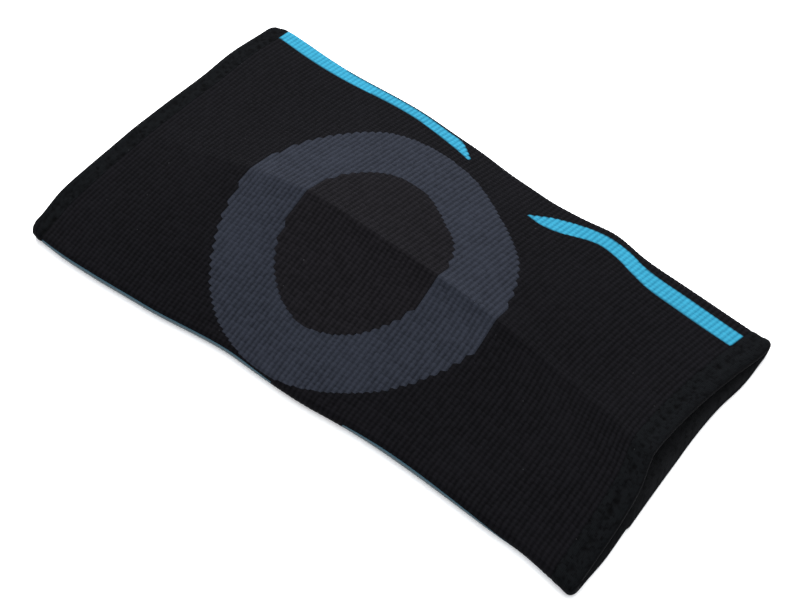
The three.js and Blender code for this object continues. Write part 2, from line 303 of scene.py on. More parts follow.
def default_columns():
    """The u of each column round the sleeve, without the closing one."""
    near = np.linspace(-1, 0, NEAR_SLOPE_COLUMNS + 1)[:-1]
    far = np.linspace(0, 1, FAR_SLOPE_COLUMNS + 1)[:-1]
    far_fold = np.linspace(1, 2, FOLD_COLUMNS + 1)[:-1]
    edge = FLOOR_EDGE / ELBOW_WIDTH
    first = np.linspace(2, 2 + edge, FLOOR_EDGE_COLUMNS + 1)[:-1]
    middle = np.linspace(2 + edge, 3 - edge, FLOOR_MIDDLE_COLUMNS + 1)[:-1]
    last = np.linspace(3 - edge, 3, FLOOR_EDGE_COLUMNS + 1)[:-1]
    near_fold = np.linspace(3, LOOP_END, FOLD_COLUMNS + 1)[:-1]
    return np.concatenate([near, far, far_fold, first, middle, last, near_fold])


# Coloured zones, as stretches of the loop at each rib

def slope_ends(x):
    """The y of the near slope's foot, of the ridge and of the far slope's foot, at one x."""
    x = np.array(x)
    radius = FOLD_HEIGHT / 2
    return radius - float(fold_at(NEAR, x)), float(ridge_at(x)), float(fold_at(FAR, x)) - radius


def top_place(x, y):
    """The u of a point of the upper layer at x and y in plan."""
    near_foot, ridge, far_foot = slope_ends(x)
    if y > ridge:
        return (y - ridge) / (far_foot - ridge)
    return (y - ridge) / (ridge - near_foot)


def round_outline(length, width, reach):
    """The closed curve of a ring outline, as dense points round its middle."""
    angles = 2 * np.pi * np.arange(len(reach)) / len(reach)
    corners = np.stack([np.cos(angles) * length / 2, np.sin(angles) * width / 2], -1)
    corners = corners * np.array(reach)[:, None]
    count = len(corners)
    t = np.linspace(0, count, OUTLINE_POINTS + 1)[:-1]
    i = t.astype(int)
    w = (t - i)[:, None]
    p0, p1, p2, p3 = (corners[(i + k) % count] for k in (-1, 0, 1, 2))
    square, cube = 2 * p0 - 5 * p1 + 4 * p2 - p3, 3 * p1 - p0 - 3 * p2 + p3
    loop = 0.5 * (2 * p1 + (p2 - p0) * w + square * w**2 + cube * w**3)
    middle = np.array([RING_AT * LENGTH, float(ridge_at(np.array(RING_AT * LENGTH))) - RING_SHIFT])
    return loop + middle


def smooth_value(at, places, values):
    """Smooth curve through unevenly spaced values."""
    places, values = np.asarray(places, float), np.asarray(values, float)
    slope = np.gradient(values, places)
    i = int(np.clip(np.searchsorted(places, at) - 1, 0, len(places) - 2))
    run = places[i + 1] - places[i]
    w = (at - places[i]) / run
    start = (2 * w**3 - 3 * w**2 + 1) * values[i] + (w**3 - 2 * w**2 + w) * run * slope[i]
    end = (3 * w**2 - 2 * w**3) * values[i + 1] + (w**3 - w**2) * run * slope[i + 1]
    return float(start + end)


def crossing(loop, x):
    """Where the upright line at x crosses a closed outline: the lowest and highest y, or None."""
    a, b = loop, np.roll(loop, -1, 0)
    hit = (a[:, 0] - x) * (b[:, 0] - x) <= 0
    if hit.sum() < 2:
        return None
    a, b = a[hit], b[hit]
    run = b[:, 0] - a[:, 0]
    slanted = np.abs(run) > TINY
    w = np.where(slanted, (x - a[:, 0]) / np.where(slanted, run, 1), 0)
    y = a[:, 1] + w * (b[:, 1] - a[:, 1])
    return float(y.min()), float(y.max())


def whole_stitches(y):
    """A border's place, drawn toward the nearest whole stitch."""
    return y + STITCH_TOOTH * (round(y / STITCH_WIDTH) * STITCH_WIDTH - y)


def ring_stretches(x):
    """Start and end of each part of the loop that the ring covers at x."""
    outer = crossing(RING_LOOP, x)
    if outer is None:
        return []
    inner = crossing(DISC_LOOP, x)
    low, high = (top_place(x, whole_stitches(y)) for y in outer)
    on_fold = past_near_slope(x, low)
    low = max(low, -1.0)
    if inner is None:
        return [(low, high), *on_fold]
    hole_low, hole_high = (top_place(x, whole_stitches(y)) for y in inner)
    return [(low, hole_low), (hole_high, high), *on_fold]


def past_near_slope(x, place):
    """The stretch of the near fold that a zone covers when its border passes the near slope's foot."""
    near_foot, ridge, _ = slope_ends(x)
    over = (-1 - place) * (ridge - near_foot)
    if over < SHORTEST_OVERLAP:
        return []
    half_turn = math.pi * (FOLD_HEIGHT / 2)
    return [(max(LOOP_END - over / half_turn, LOWEST_OVERLAP), LOOP_END)]


def edge_place(side, x, inward, lower):
    """The u of a point at a distance in from a side fold, on the upper or the lower side of it."""
    radius = FOLD_HEIGHT / 2
    if inward < radius:
        angle = math.acos(np.clip(1 - inward / radius, -1, 1)) / np.pi
        turn = 0.5 + angle if lower else 0.5 - angle
        return 1 + turn if side > 0 else LOOP_END - turn
    edge = float(fold_at(FAR if side > 0 else NEAR, np.array(x)))
    if not lower:
        return top_place(x, side * (edge - inward))
    width = float(fold_at(FAR, np.array(x)) + fold_at(NEAR, np.array(x))) - FOLD_HEIGHT
    share = (inward - radius) / width
    return 2 + share if side > 0 else 3 - share


def fold_place(side, z):
    """The u on a side fold at a height."""
    radius = FOLD_HEIGHT / 2
    turn = 0.5 - math.asin((z - radius) / radius) / np.pi
    return 1 + turn if side > 0 else LOOP_END - turn


def band_stretches(name, x):
    """Start and end of the part of the loop that a band covers at x."""
    rows = BANDS[name]
    at = (x - BODY_START) / (BODY_END - BODY_START)
    if at < rows["at"][0] or at > rows["at"][-1]:
        return []
    inner = smooth_value(at, rows["at"], rows["inner"]) * BAND_WIDTH
    if "height" in rows:
        start = edge_place(-1, x, inner, True)
        end = fold_place(-1, smooth_value(at, rows["at"], rows["height"]))
    else:
        outer = smooth_value(at, rows["at"], rows["outer"]) * BAND_WIDTH
        start = edge_place(1, x, inner, False)
        end = edge_place(1, x, outer, False)
    return [(min(start, end), max(start, end))]


RING_LOOP = round_outline(RING_LENGTH, RING_WIDTH, RING_REACH)
DISC_LOOP = round_outline(DISC_LENGTH, DISC_WIDTH, DISC_REACH)
ZONES = ["elbow_ring", *BANDS]


def stretches(zone, x):
    """Start and end of each part of the loop that a zone covers at x."""
    return ring_stretches(x) if zone == "elbow_ring" else band_stretches(zone, x)


def toothed(zone, x, places):
    """Border places at one row of a rib: mostly those of the whole rib, and partly its own."""
    own = stretches(zone, x)
    if len(own) != len(places):
        return places
    tooth = BAND_TOOTH if zone in BANDS else RIB_TOOTH
    return [tuple(tooth * a + (1 - tooth) * b for a, b in zip(*pair)) for pair in zip(places, own)]


def column_at(columns, place):
    """The column nearest to a u, or one past the last for the end of the loop."""
    return len(columns) if place >= LOOP_END else int(np.argmin(np.abs(columns - place)))


def knit_grid():
    """The x of each row, the u of each point, and the zone of each cell, 0 for the black ground."""
    columns = default_columns()
    rows = RIBS * ROWS_PER_RIB + 1
    x = np.linspace(BODY_START, BODY_END, rows)
    u = np.tile(columns, (rows, 1))
    cells = np.zeros((rows - 1, len(columns)), int)
    shared = {}
    for rib in range(RIBS):
        first = rib * ROWS_PER_RIB
        last = first + ROWS_PER_RIB
        middle = (x[first] + x[last]) / 2
        for number, zone in enumerate(ZONES, 1):
            places = stretches(zone, middle)
            spans = [[column_at(columns, place) for place in pair] for pair in places]
            for a, b in spans:
                cells[first:last, a:max(a, b)] = number
            for row in range(first, last + 1):
                for (a, b), pair in zip(spans, toothed(zone, x[row], places)):
                    if b <= a:
                        continue
                    for column, place in zip((a, b), pair):
                        if column == len(columns):
                            continue
                        if first < row < last:
                            u[row, column] = place
                        else:
                            shared.setdefault((row, column), []).append(place)
    for (row, column), places in shared.items():
        u[row, column] = sum(places) / len(places)
    return x, u, cells


# Meshes

def make_piece(name, points, faces, sharp=None, uv=None, layers=None):
    """A mesh object of quads, from points in millimetres of the sleeve's own frame."""
    mesh = bpy.data.meshes.new(name)
    placed = (np.asarray(points) - FRAME_SHIFT) * MM
    mesh.from_pydata(placed.tolist(), [], faces.tolist())
    mesh.validate()
    mesh.shade_smooth()
    if uv is not None:
        layer = mesh.uv_layers.new(name="knit")
        loops = np.empty(len(mesh.loops), int)
        mesh.loops.foreach_get("vertex_index", loops)
        layer.data.foreach_set("uv", np.asarray(uv)[loops].astype(np.float32).ravel())
    for key, values in (layers or {}).items():
        attribute = mesh.attributes.new(key, "FLOAT", "POINT")
        attribute.data.foreach_set("value", np.asarray(values, np.float32))
    if sharp is not None and len(sharp):
        edges = np.empty(len(mesh.edges) * 2, int)
        mesh.edges.foreach_get("vertices", edges)
        edges = np.sort(edges.reshape(-1, 2), 1)
        wanted = np.sort(np.asarray(sharp), 1)
        size = len(points) + 1
        keys = edges[:, 0] * size + edges[:, 1]
        flags = np.isin(keys, wanted[:, 0] * size + wanted[:, 1])
        mesh.edges.foreach_set("use_edge_sharp", flags)
    piece = bpy.data.objects.new(name, mesh)
    bpy.context.scene.collection.objects.link(piece)
    return piece


def grid_quads(rows, columns, offset=0, flip=False):
    """Quads of a grid that closes round its columns."""
    r, c = np.meshgrid(np.arange(rows - 1), np.arange(columns), indexing="ij")
    n = (c + 1) % columns
    a, b = r * columns + c, (r + 1) * columns + c
    d, e = r * columns + n, (r + 1) * columns + n
    quads = np.stack([a, b, e, d], -1).reshape(-1, 4) + offset
    return quads[:, ::-1] if flip else quads


def rim_quads(outer_row, inner_row, columns, flip):
    """Quads between two closed rows, each given by its first point."""
    c = np.arange(columns)
    n = (c + 1) % columns
    quads = np.stack([outer_row + c, outer_row + n, inner_row + n, inner_row + c], -1)
    return quads[:, ::-1] if flip else quads


def zone_corners(cells, number):
    """For each grid point: whether any and whether all of the cells round it belong to a zone."""
    inside = cells == number
    blank = np.zeros((1, cells.shape[1]), bool)
    padded = np.vstack([blank, inside, blank])
    above, below = padded[:-1], padded[1:]
    quad = np.stack([above, below, np.roll(above, 1, 1), np.roll(below, 1, 1)])
    return quad.any(0), quad.all(0)


def border_edges(cells):
    """Grid edges between cells of different zones, as pairs of point numbers."""
    columns = cells.shape[1]

    def point(row, column):
        return row * columns + column % columns

    r, c = np.nonzero(cells != np.roll(cells, 1, 1))
    along = np.stack([point(r, c), point(r + 1, c)], -1)
    r, c = np.nonzero(cells[1:] != cells[:-1])
    across = np.stack([point(r + 1, c), point(r + 1, c + 1)], -1)
    return np.vstack([along, across])


def end_edges(row_start, columns):
    """Edges of one closed row, given by its first point."""
    c = np.arange(columns)
    return np.stack([row_start + c, row_start + (c + 1) % columns], -1)


def girth_places(points):
    """Distance round the sleeve from the first column, for each point of a grid."""
    step = np.linalg.norm(np.diff(points, axis=1), axis=-1)
    return np.concatenate([np.zeros((len(points), 1)), np.cumsum(step, 1)], 1)


def knit_uv(x, around):
    """Texture places in metres for a grid: the distance round the sleeve, and the x along it."""
    return np.stack([around, np.broadcast_to(x[:, None], around.shape)], -1) * MM


def round_from_underside(points, u):
    """Girth places whose closing seam lies on the middle of the underside, out of sight."""
    around = girth_places(points)
    closing = np.linalg.norm(points[:, :1] - points[:, -1:], axis=-1)
    return np.where(u > UNDERSIDE_MIDDLE, around - around[:, -1:] - closing, around)


def rib_relief(u, cells):
    """Height of the ribs at each grid point, and how deep in a groove it lies, from 0 to 1."""
    rows, columns = u.shape
    relief = RIB_DEPTH * np.resize(RIB_PROFILE, rows)[:, None] * np.ones((1, columns))
    groove = -relief / RIB_DEPTH
    for number, zone in enumerate(ZONES, 1):
        if zone in BANDS:
            relief[zone_corners(cells, number)[0]] *= BAND_RELIEF
    relief[np.abs(u) >= 1] *= FOLD_RELIEF
    return relief, groove


def in_disc(points, u):
    """Which points of the upper layer lie within the middle line of the ring."""
    reach = np.array([RING_LENGTH + DISC_LENGTH, RING_WIDTH + DISC_WIDTH]) / 4
    across = (points[..., :2] - RING_LOOP.mean(0)) / reach
    return (np.linalg.norm(across, axis=-1) < 1) & (np.abs(u) < 1)


def lining_side():
    """The inner side of the wall, on a coarser grid: its points and texture places."""
    x = np.linspace(BODY_START, BODY_END, LINING_ROWS)
    outer = face(x[:, None], default_columns()[None, :])
    points = outer - loop_normals(outer) * WALL
    points[..., 2] = np.maximum(points[..., 2], WALL)
    return points, knit_uv(x, girth_places(points))


def knit_pieces():
    """The skins of the ring and the bands, and the body with a pocket under each of them."""
    x, u, cells = knit_grid()
    points = face(x[:, None], u)
    normals = loop_normals(points)
    relief, groove = rib_relief(u, cells)
    skin = {
        "surface": points + normals * relief[..., None],
        "deep": points - normals * ZONE_DEPTH,
        "uv": knit_uv(x, round_from_underside(points, u)),
        "groove": groove,
    }
    sunk = np.zeros(u.shape, bool)
    pieces = {}
    for number, zone in enumerate(ZONES, 1):
        touched, inside = zone_corners(cells, number)
        sunk |= inside
        pieces[zone] = zone_piece(zone, cells == number, touched, inside, skin)
    ground = np.where(sunk[..., None], points - normals * POCKET_DEPTH, skin["surface"])
    pieces["sleeve_body"] = body_piece(ground, cells, skin, in_disc(points, u))
    return pieces


def body_piece(ground, cells, skin, disc):
    """The whole tube: its outer side, its inner side and the rims at both ends."""
    rows, columns = ground.shape[:2]
    inner, inner_uv = lining_side()
    outer_count = rows * columns
    inner_count = LINING_ROWS * columns
    last_outer = outer_count - columns
    last_inner = outer_count + inner_count - columns
    faces = np.vstack([
        grid_quads(rows, columns),
        grid_quads(LINING_ROWS, columns, outer_count, flip=True),
        rim_quads(0, outer_count, columns, flip=False),
        rim_quads(last_outer, last_inner, columns, flip=True),
    ])
    ends = [end_edges(first, columns) for first in (0, last_outer, outer_count, last_inner)]
    layers = {
        "groove": np.concatenate([skin["groove"].ravel(), np.full(inner_count, LINING_GROOVE)]),
        "disc": np.concatenate([disc.ravel(), np.zeros(inner_count)]),
        # The inner side gets painted light that lifts its shade
        "painted_inside_light": np.concatenate([np.zeros(outer_count), np.ones(inner_count)]),
    }
    points = np.vstack([ground.reshape(-1, 3), inner.reshape(-1, 3)])
    uv = np.vstack([skin["uv"].reshape(-1, 2), inner_uv.reshape(-1, 2)])
    return make_piece("sleeve_knit", points, faces, np.vstack([border_edges(cells), *ends]), uv, layers)


def zone_piece(zone, zone_cells, touched, inside, skin):
    """A closed skin over the cells of one zone: its face, and a back that meets the face at the border."""
    rows, columns = touched.shape
    top = np.full((rows, columns), -1)
    top[touched] = np.arange(touched.sum())
    back = top.copy()
    back[inside] = touched.sum() + np.arange(inside.sum())
    r, c = np.nonzero(zone_cells)
    n = (c + 1) % columns
    face_quads = np.stack([top[r, c], top[r + 1, c], top[r + 1, n], top[r, n]], -1)
    back_quads = np.stack([back[r, c], back[r, n], back[r + 1, n], back[r + 1, c]], -1)
    points = np.vstack([skin["surface"][touched], skin["deep"][inside]])
    uv = np.vstack([skin["uv"][touched], skin["uv"][inside]])
    grooves = np.concatenate([skin["groove"][touched], skin["groove"][inside]])
    rim = touched & ~inside
    border = np.concatenate([rim[touched].astype(float), np.zeros(inside.sum())])
    edges = border_edges(zone_cells.astype(int))
    flat = top.ravel()
    sharp = np.stack([flat[edges[:, 0]], flat[edges[:, 1]]], -1)
    layers = {"groove": grooves, "border": border}
    return make_piece(zone + "_knit", points, np.vstack([face_quads, back_quads]), sharp, uv, layers)


# Hems

# Their zigzags: the two rows of needle places, and the pitch of the thread round the sleeve
UPPER_ARM_STITCH = {"from": 3.8, "to": 6.6, "pitch": 3.1}
FOREARM_STITCH = {"from": LENGTH - 8.8, "to": LENGTH - 4.6, "pitch": 3.3}

# Facets, the fine rib along a hem, and its puff between the edge and the stitching
HEM_ROW = 0.4
HEM_SPLIT = 3
HEM_RIB = 1.05
HEM_RIB_RELIEF = 0.03
HEM_PUFF = 0.18
HEM_FADE = 1.5
HEM_SHIFT = 1.5

# The rounded turn of the cloth at an open edge: share of LIP, and share of the hem's wall
LIP_ROUND = [(0.0, 0.42), (0.08, 0.62), (0.22, 0.8), (0.5, 0.94), (1.0, 1.0)]
# Distance from the open edge over which the lip is darkened: painted shade over the light its rounded rim
# catches
LIP_SHADE = 0.5

# Where the forearm hem's end laps over its start underneath, and the step there
LAP_COLUMNS = np.array([2.755, 2.77])
LAP_FADE = 0.15
LAP_STEP = 0.5

# Dimples at the needle places: depth and radius, their wander along and round, and least and most shares
SEAM_DEPTH = 0.12
DENT_DEPTH = 0.42
DENT_RADIUS = 0.75
DENT_ALONG = 0.4
DENT_ROUND = 0.5
DENT_SIZES = (0.7, 1.6)
DENT_DEPTHS = (0.0, 0.9)

# Thread: share of the way to the next needle place and height over the cloth, and their wander
THREAD_PATH = [(0.0, -0.5), (0.2, -0.3), (0.5, -0.1), (0.8, -0.3)]
THREAD_WANDER = 0.08
THREAD_LIFT = 0.06
THREAD_RADIUS = 0.14
THREAD_SIDES = 6
GIRTH_SAMPLES = 4000


def hem_rows(length):
    """Distances from the open edge, with the share of the wall's thickness there."""
    rows = [(share * LIP, thick) for share, thick in LIP_ROUND]
    count = int(round((length - LIP) / HEM_ROW))
    rows += [(LIP + (length - LIP) * (i + 1) / count, 1.0) for i in range(count)]
    return rows


def hem_columns():
    """The u of each column of a hem: finer than the knit's, with two more at the step of the lap."""
    columns = np.concatenate([default_columns(), [LOOP_END]])
    shares = np.arange(HEM_SPLIT) / HEM_SPLIT
    fine = [a + (b - a) * shares for a, b in zip(columns[:-1], columns[1:])]
    return np.sort(np.concatenate([*fine, LAP_COLUMNS]))


def lap_share(columns):
    """How far each column is over the step of the lap, from 0 to 1, on the underside alone."""
    over = np.clip((columns - LAP_COLUMNS[0]) / np.ptp(LAP_COLUMNS), 0, 1)
    under = (columns > 2) & (columns <= 3)
    return over * under * np.clip((3 - columns) / LAP_FADE, 0, 1)


def hem_piece(name, edge, direction, length, stitch, lap=0.0):
    """A turned-in end: puffed between the open edge and the stitching, and pulled in along it."""
    rows = hem_rows(length)[::direction]
    columns = hem_columns()
    distance = np.array([d for d, _ in rows])
    thick = np.array([t for _, t in rows])
    x = edge + direction * distance
    points = face(x[:, None], columns[None, :])
    points[..., 0] -= lap * lap_share(columns)
    # The corners are so tight that the normals are taken a little way in from the end
    normals = loop_normals(face((x + direction * HEM_SHIFT)[:, None], columns[None, :]))
    proud = (HEM_WALL - WALL) / 2 * np.clip((length - distance) / HEM_FADE, 0, 1)
    swell = (WALL / 2 + proud) * thick - WALL / 2
    sewn = min(abs(stitch["from"] - edge), abs(stitch["to"] - edge))
    puff = HEM_PUFF * np.sin(np.pi * np.clip(distance / sewn, 0, 1)) ** 2
    rib = HEM_RIB_RELIEF * np.cos(2 * np.pi * distance / HEM_RIB) * np.minimum(distance / HEM_FADE, 1)
    around = girth_places(points)
    dents = stitch_dents(x[:, None], around, stitch)
    lift = (swell + puff + rib)[:, None] - dents
    outer = points + normals * lift[..., None]
    outer[..., 2] = np.maximum(outer[..., 2], 0.0)
    inner = points - normals * (WALL + swell)[:, None, None]
    count = len(columns)
    offset = len(rows) * count
    last = offset - count
    faces = np.vstack([
        grid_quads(len(rows), count),
        grid_quads(len(rows), count, offset, flip=True),
        rim_quads(0, offset, count, flip=False),
        rim_quads(last, offset + last, count, flip=True),
    ])
    seam = last if direction > 0 else 0
    sharp = np.vstack([end_edges(seam, count), end_edges(offset + seam, count)])
    all_points = np.vstack([outer.reshape(-1, 3), inner.reshape(-1, 3)])
    uv = knit_uv(x, around).reshape(-1, 2)
    # Painted shade: darker in the needle dimples, the more the deeper they are, and along the lip of the
    # open edge
    dimple_shade = np.clip((dents - SEAM_DEPTH) / (DENT_DEPTH - SEAM_DEPTH), 0, 1)
    lip_shade_mask = np.clip(1 - distance / LIP_SHADE, 0, 1)
    layers = {
        "painted_shade": np.concatenate([np.maximum(dimple_shade, lip_shade_mask[:, None]).ravel(), np.repeat(lip_shade_mask, count)]),
        # Painted light on the inner side, fading to none at the lip
        "painted_inside_light": np.concatenate([np.zeros(offset), np.repeat(1 - lip_shade_mask, count)]),
    }
    return make_piece(name, all_points, faces, sharp, np.vstack([uv, uv]), layers)


def stitch_places(stitch):
    """Needle places of a zigzag round the sleeve: their x, their u, and the girth there."""
    columns = np.concatenate([default_columns(), [LOOP_END]])
    dense = np.interp(np.linspace(0, len(columns) - 1, GIRTH_SAMPLES), np.arange(len(columns)), columns)
    middle = (stitch["from"] + stitch["to"]) / 2
    girth = girth_places(face(np.array([[middle]]), dense[None, :]))[0]
    count = int(round(girth[-1] / stitch["pitch"])) * 2
    order = np.arange(count)
    places = order * girth[-1] / count
    x = np.where(order % 2, stitch["from"], stitch["to"])
    return x, np.interp(places, girth, dense), places


def stitch_dents(x, around, stitch):
    """Small dimples where the needle pulled the cloth in, in a shallow trough along the seam."""
    needle_x, _, needle_girth = stitch_places(stitch)
    rng = np.random.default_rng(len(needle_x))
    total = around[:, -1:].mean()
    low, high = min(stitch["from"], stitch["to"]), max(stitch["from"], stitch["to"])
    outside = np.maximum(np.maximum(low - x, x - high), 0)
    dents = SEAM_DEPTH * np.exp(-(outside**2)) * np.ones_like(around)
    for px, pg in zip(needle_x, needle_girth):
        off = np.abs(around - (pg + rng.normal(0, DENT_ROUND)))
        off = np.minimum(off, np.abs(total - off))
        size = DENT_RADIUS * rng.uniform(*DENT_SIZES)
        near = np.exp(-((x - px - rng.normal(0, DENT_ALONG)) ** 2 + off**2) / size**2)
        dents += DENT_DEPTH * rng.uniform(*DENT_DEPTHS) * near
    return np.minimum(dents, DENT_DEPTH)


def thread_piece(name, stitch, seed):
    """The zigzag thread as one closed tube that dives at each needle place."""
    rng = np.random.default_rng(seed)
    x, u, _ = stitch_places(stitch)
    count = len(x)
    path_x, path_u, lift = [], [], []
    for i in range(count):
        j = (i + 1) % count
        next_u = u[j] if j else u[j] + LOOP_SPAN
        for share, height in THREAD_PATH:
            path_x.append(x[i] + (x[j] - x[i]) * share + rng.normal(0, THREAD_WANDER))
            path_u.append(u[i] + (next_u - u[i]) * share)
            lift.append(height + rng.normal(0, THREAD_LIFT))
    path_x, path_u = np.array(path_x), np.array(path_u)
    path_u = np.where(path_u > LOOP_END, path_u - LOOP_SPAN, path_u)
    points = face(path_x, path_u)
    small = 0.001
    along = face(path_x + small, path_u) - face(path_x - small, path_u)
    after = np.roll(points, -1, 0) - np.roll(points, 1, 0)
    round_way = after - along * ((after * along).sum(-1) / (along * along).sum(-1))[:, None]
    normal = np.cross(along, round_way)
    normal /= np.linalg.norm(normal, axis=-1, keepdims=True)
    line = points + normal * np.array(lift)[:, None]
    return tube_piece(name, line, THREAD_RADIUS, THREAD_SIDES)


def tube_piece(name, line, radius, sides):
    """A closed loop of thread."""
    tangent = np.roll(line, -1, 0) - np.roll(line, 1, 0)
    tangent /= np.linalg.norm(tangent, axis=-1, keepdims=True)
    up = np.array([0.0, 0.0, 1.0])
    side = np.cross(tangent, up)
    side /= np.maximum(np.linalg.norm(side, axis=-1, keepdims=True), TINY)
    top = np.cross(side, tangent)
    angles = 2 * np.pi * np.arange(sides) / sides
    across = side[:, None, :] * np.cos(angles)[None, :, None]
    upward = top[:, None, :] * np.sin(angles)[None, :, None]
    points = line[:, None, :] + (across + upward) * radius
    points[..., 2] = np.maximum(points[..., 2], 0.0)
    rows, columns = points.shape[:2]
    faces = grid_quads(rows, columns)
    closing = rim_quads((rows - 1) * columns, 0, columns, flip=True)
    return make_piece(name, points.reshape(-1, 3), np.vstack([faces, closing]))


# Materials

# Small relief of the knit in the shader: the stitches and ribs as waves, and a fine noise
GRAIN_SCALE = 900.0
GRAIN_DETAIL = 3.0
GRAIN_RELIEF = 1.2
STITCH_RELIEF = 5.0
RIB_RELIEF = 0.25
BUMP_DISTANCE = 0.0002

# Tones: how much darker the grooves and stitch ends are, as painted shade, and paler patches here and there
STITCH_LEVEL = 0.4
STITCH_START = 0.25
HEM_GROOVE = 0.4
TONE_SHARE = 0.4
PATCH_SCALE = 45.0
PATCH_DETAIL = 2.0
PATCH_LEVEL = 0.45
PATCH_GAIN = 0.8
PATCH_LIGHT = 1.25
DISC_SHARE = 0.3
DISC_DARK = 1 / 2.5
# Darker share for the grooves of the painted light on the inner side
INSIDE_LIGHT_GROOVE = 1 / 2
RIM_POWER = 1.6
RIM_SHARE = 0.95

# Specks of lint
LINT_SCALE = 1100.0
LINT_LEVEL = 0.86
LINT_GAIN = 14.0
LINT_SHARE = 0.6
LINT_TONE = (0.03, 0.03, 0.032)

# Surface of the yarn and of the thread
YARN_ROUGHNESS = 0.9
SHEEN = 0.008
SHEEN_ROUGHNESS = 0.55
SHEEN_TINT = (0.75, 0.8, 1.0, 1.0)
THREAD_TONES = ((0.0012, 0.0013, 0.0015), (0.004, 0.0043, 0.0048))
THREAD_GRAIN = 1500.0
THREAD_BUMP = 0.5
THREAD_BUMP_DISTANCE = 0.0001
THREAD_SPECULAR = 0.04


def new_material(name):
    """An empty material with one shader, wired to its output."""
    material = bpy.data.materials.new(name)
    material.use_nodes = True
    nodes = material.node_tree.nodes
    nodes.clear()
    out = nodes.new("ShaderNodeOutputMaterial")
    shader = nodes.new("ShaderNodeBsdfPrincipled")
    material.node_tree.links.new(shader.outputs[0], out.inputs[0])
    return material, shader


def math_node(tree, operation, a, b=None):
    """The result of an operation on one or two values, each a number or another node's output."""
    node = tree.nodes.new("ShaderNodeMath")
    node.operation = operation
    for index, value in enumerate((a, b)):
        if value is None:
            continue
        if isinstance(value, (int, float)):
            node.inputs[index].default_value = value
        else:
            tree.links.new(value, node.inputs[index])
    return node.outputs[0]


def mix_colour(tree, factor, a, b):
    """The output of a mix of two colours, each a tuple or another node's output."""
    node = tree.nodes.new("ShaderNodeMix")
    node.data_type = "RGBA"
    for socket, value in ((node.inputs["Factor"], factor), (node.inputs[6], a), (node.inputs[7], b)):
        if isinstance(value, (int, float)):
            socket.default_value = value
        elif isinstance(value, tuple):
            socket.default_value = (*value, 1.0)
        else:
            tree.links.new(value, socket)
    return node.outputs[2]


def darker(colour, share):
    return tuple(c * share for c in colour)


